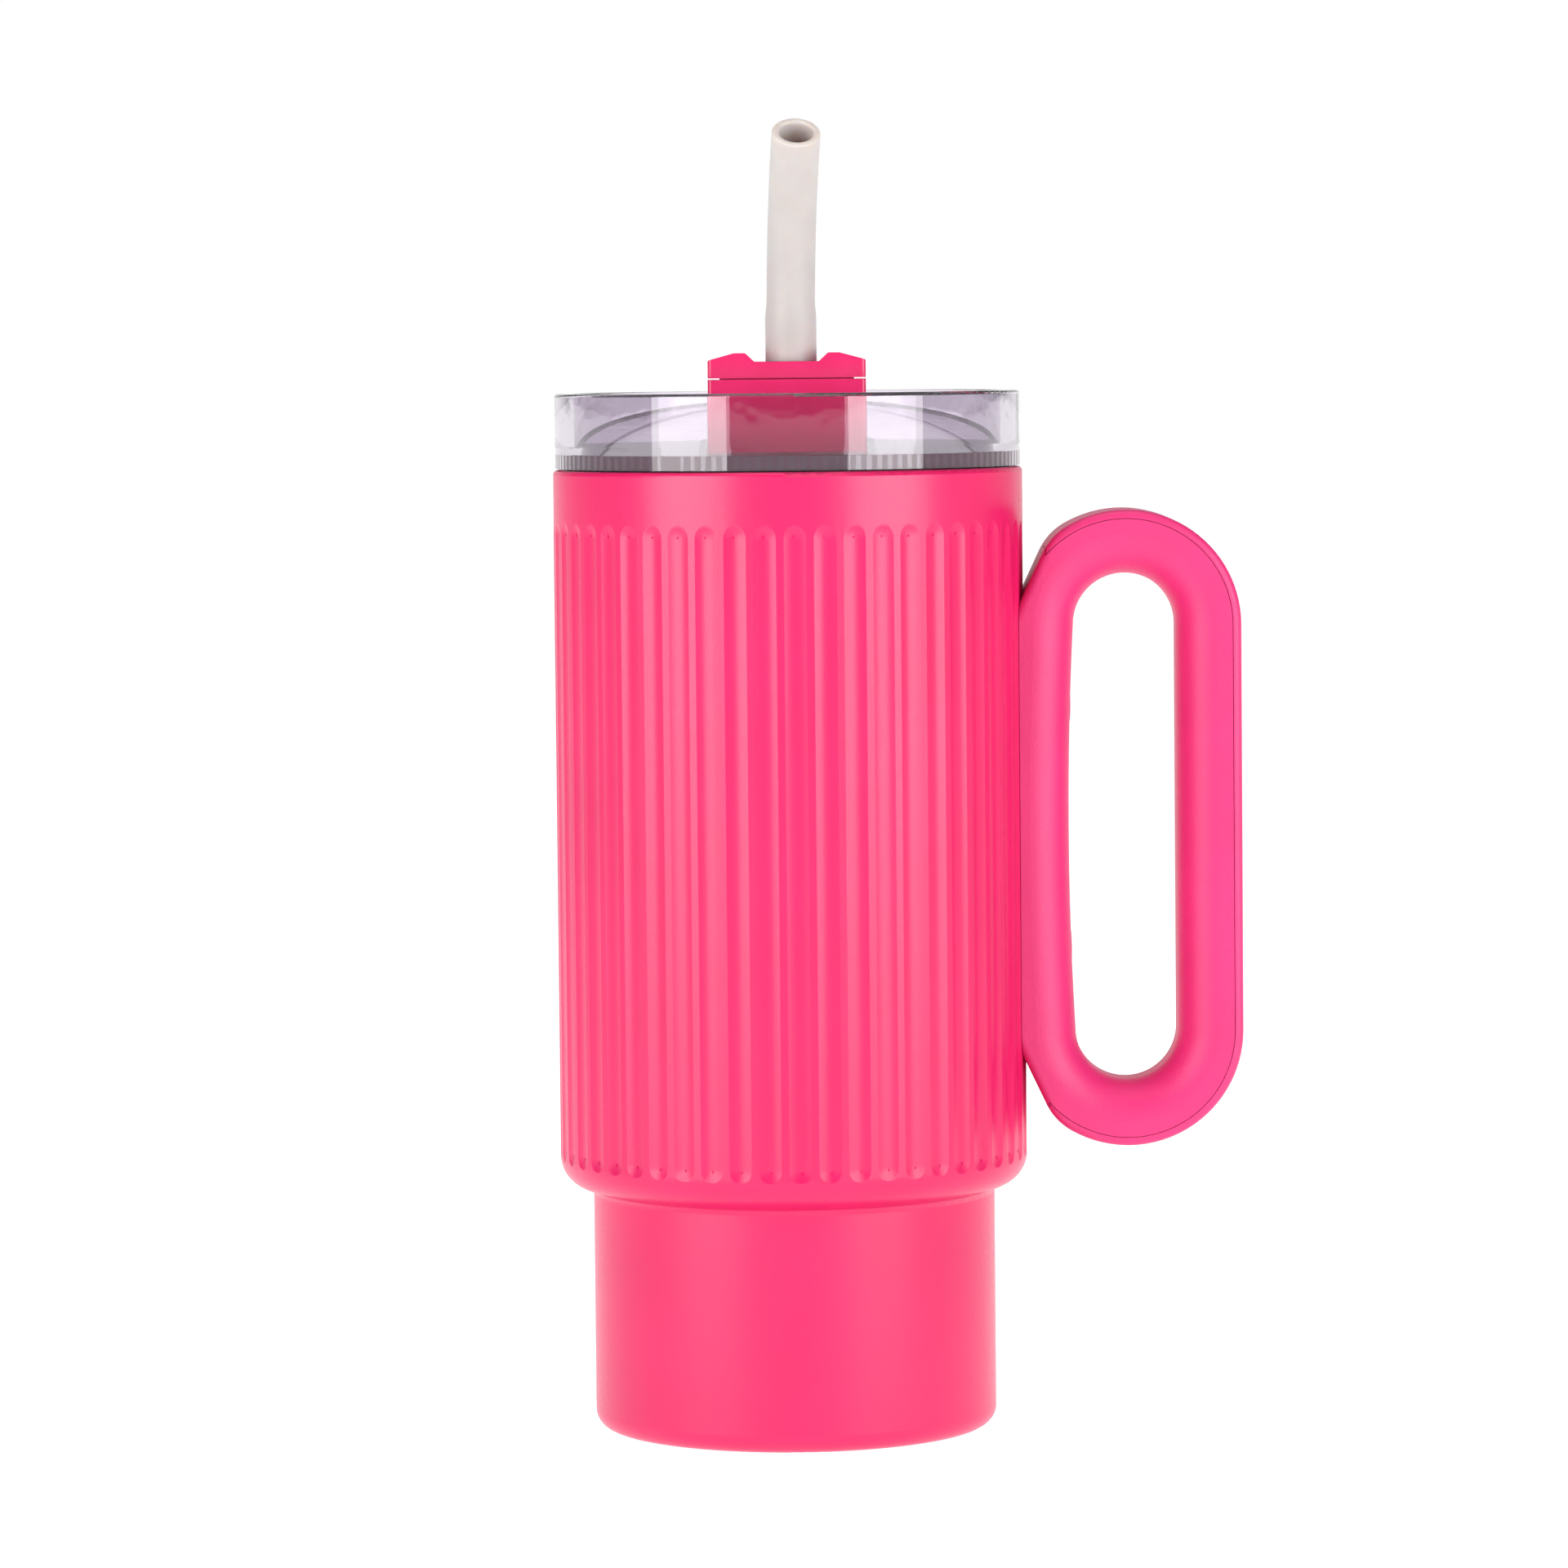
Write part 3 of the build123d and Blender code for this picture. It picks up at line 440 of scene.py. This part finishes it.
# %% Model the spout
SPOUT_ROOT = 5.05 * MM
SPOUT_RADIUS = 4.78 * MM
SPOUT_WALL = 1.4 * MM
PIVOT = Vector((0, -3.5 * MM, 203.6 * MM))
ASIDE = 0.9 * MM
SEAT = PIVOT + Vector((ASIDE, 0, 2.0 * MM))
BEND_START = PIVOT + Vector((ASIDE, 0, 13.0 * MM))
BEND_RADIUS = 67.4 * MM
BEND = radians(36.6)
YAW = radians(6)
BEND_STEPS = 36
STRAIGHT_RINGS = 6
RING_CORNERS = 72
LIP_ROUND = 0.5 * MM
ROOT_ENDS, TAPER_ENDS = radians(3.2), radians(6.1)

bpy.ops.object.select_all(action="DESELECT")
bpy.ops.mesh.primitive_circle_add(vertices=RING_CORNERS, radius=SPOUT_ROOT, location=SEAT)
spout = bpy.context.object
bpy.ops.object.transform_apply(location=True, rotation=True, scale=True)
bpy.ops.object.mode_set(mode="EDIT")
bpy.ops.mesh.select_all(action="SELECT")
for _ in range(STRAIGHT_RINGS):
    bpy.ops.mesh.extrude_region_move(
        TRANSFORM_OT_translate={"value": (BEND_START - SEAT) / STRAIGHT_RINGS}
    )
lean = Vector((sin(YAW), -cos(YAW), 0))
hub = BEND_START + lean * BEND_RADIUS
bpy.ops.mesh.spin(steps=BEND_STEPS, angle=-BEND, center=hub, axis=lean.cross(Vector((0, 0, -1))))
bpy.ops.object.mode_set(mode="OBJECT")
print("rings:", len(spout.data.vertices) // RING_CORNERS)

# %% Draw in the rings past the root and give the tube its wall
for corner in spout.data.vertices:
    offset = corner.co - hub
    angle = atan2(offset.z, offset.dot(-lean))
    if angle > ROOT_ENDS:
        share = min(1.0, (angle - ROOT_ENDS) / (TAPER_ENDS - ROOT_ENDS))
        ease = share * share * (3 - 2 * share)
        ring = hub + (Vector((0, 0, sin(angle))) - lean * cos(angle)) * BEND_RADIUS
        corner.co = ring + (corner.co - ring) * (1 + ease * (SPOUT_RADIUS / SPOUT_ROOT - 1))
wall = spout.modifiers.new("wall", "SOLIDIFY")
wall.thickness, wall.offset, wall.use_even_offset = SPOUT_WALL, -1, True
lip = spout.modifiers.new("lip", "BEVEL")
lip.width, lip.segments, lip.limit_method, lip.angle_limit = LIP_ROUND, 5, "ANGLE", radians(50)
only(spout)
bpy.ops.object.mode_set(mode="EDIT")
bpy.ops.mesh.select_all(action="SELECT")
bpy.ops.mesh.normals_make_consistent(inside=False)
bpy.ops.object.mode_set(mode="OBJECT")
apply_all(spout)
bpy.ops.object.shade_smooth()
hand_over(spout, "silicone_spout", "ivory_silicone", "flip_spout", "spout")
low, high = spout.bound_box[0], spout.bound_box[6]
print("spout spans", [round(v / MM, 1) for v in low], [round(v / MM, 1) for v in high])

# %% [markdown]
# ## The vent valve
# A small umbrella valve lets air in as the drink goes down: a soft domed flap on top of the deck, a stem
# through it, and a bead below that holds it. It starts as a short cylinder for the flap. Its lower face is
# inset and extruded into the stem and the bead, its upper face is inset and sunk for the dimple that the
# mould's pin leaves, and the whole valve is then tilted to lie on the sloping deck.

# %% Model the vent valve
def pick(piece, kind, test):
    """In edit mode, selects only the vertices, edges or faces whose middle passes a test."""
    bpy.ops.mesh.select_mode(type=kind)
    bpy.ops.mesh.select_all(action="DESELECT")
    shape = bmesh.from_edit_mesh(piece.data)
    parts = {"VERT": shape.verts, "EDGE": shape.edges, "FACE": shape.faces}[kind]
    for part in parts:
        corners = [part] if kind == "VERT" else part.verts
        middle = sum((v.co for v in corners), Vector()) / len(corners)
        if test(middle):
            part.select_set(True)
    shape.select_flush_mode()
    bmesh.update_edit_mesh(piece.data)


VENT_BACK, DECK_MIDDLE = 24 * MM, 196.4 * MM
FLAP_RADIUS, FLAP_HEIGHT = 3.2 * MM, 0.8 * MM
STEM_RADIUS, DECK_THICKNESS = 1.6 * MM, 2.4 * MM
DIMPLE_RADIUS, DIMPLE_DEPTH = 0.9 * MM, 0.25 * MM
DECK_TILT = radians(10.6)
VENT = Vector((0, VENT_BACK, DECK_MIDDLE + VENT_BACK * tan(DECK_TILT)))
FACE_REACH = 0.01 * MM
DOME_ROUND = 0.2 * MM

bpy.ops.object.select_all(action="DESELECT")
bpy.ops.mesh.primitive_cylinder_add(
    vertices=48, radius=FLAP_RADIUS, depth=FLAP_HEIGHT, location=(0, 0, FLAP_HEIGHT / 2)
)
valve = bpy.context.object
bpy.ops.object.transform_apply(location=True, rotation=True, scale=True)
bpy.ops.object.mode_set(mode="EDIT")
pick(valve, "FACE", lambda p: p.z < FACE_REACH)
bpy.ops.mesh.inset(thickness=FLAP_RADIUS - STEM_RADIUS)
bpy.ops.mesh.extrude_region_move(TRANSFORM_OT_translate={"value": (0, 0, -DECK_THICKNESS)})
bpy.ops.mesh.extrude_region_move(TRANSFORM_OT_translate={"value": (0, 0, 0)})
spread = FLAP_RADIUS / STEM_RADIUS
bpy.ops.transform.resize(value=(spread, spread, 1), center_override=(0, 0, -DECK_THICKNESS))
bpy.ops.mesh.extrude_region_move(TRANSFORM_OT_translate={"value": (0, 0, -FLAP_HEIGHT)})
pick(valve, "FACE", lambda p: p.z > FLAP_HEIGHT - FACE_REACH)
bpy.ops.mesh.inset(thickness=FLAP_RADIUS - DIMPLE_RADIUS)
bpy.ops.mesh.extrude_region_move(TRANSFORM_OT_translate={"value": (0, 0, -DIMPLE_DEPTH)})
bpy.ops.object.mode_set(mode="OBJECT")
dome = valve.modifiers.new("dome", "BEVEL")
dome.width, dome.segments, dome.limit_method, dome.angle_limit = DOME_ROUND, 3, "ANGLE", radians(40)
apply_all(valve)
valve.rotation_euler = (DECK_TILT, 0, 0)
valve.location = VENT
bpy.ops.object.transform_apply(location=True, rotation=True, scale=True)
bpy.ops.object.shade_smooth_by_angle(angle=radians(30))
hand_over(valve, "umbrella_valve", "clear_silicone", "lid", "vent_valve")
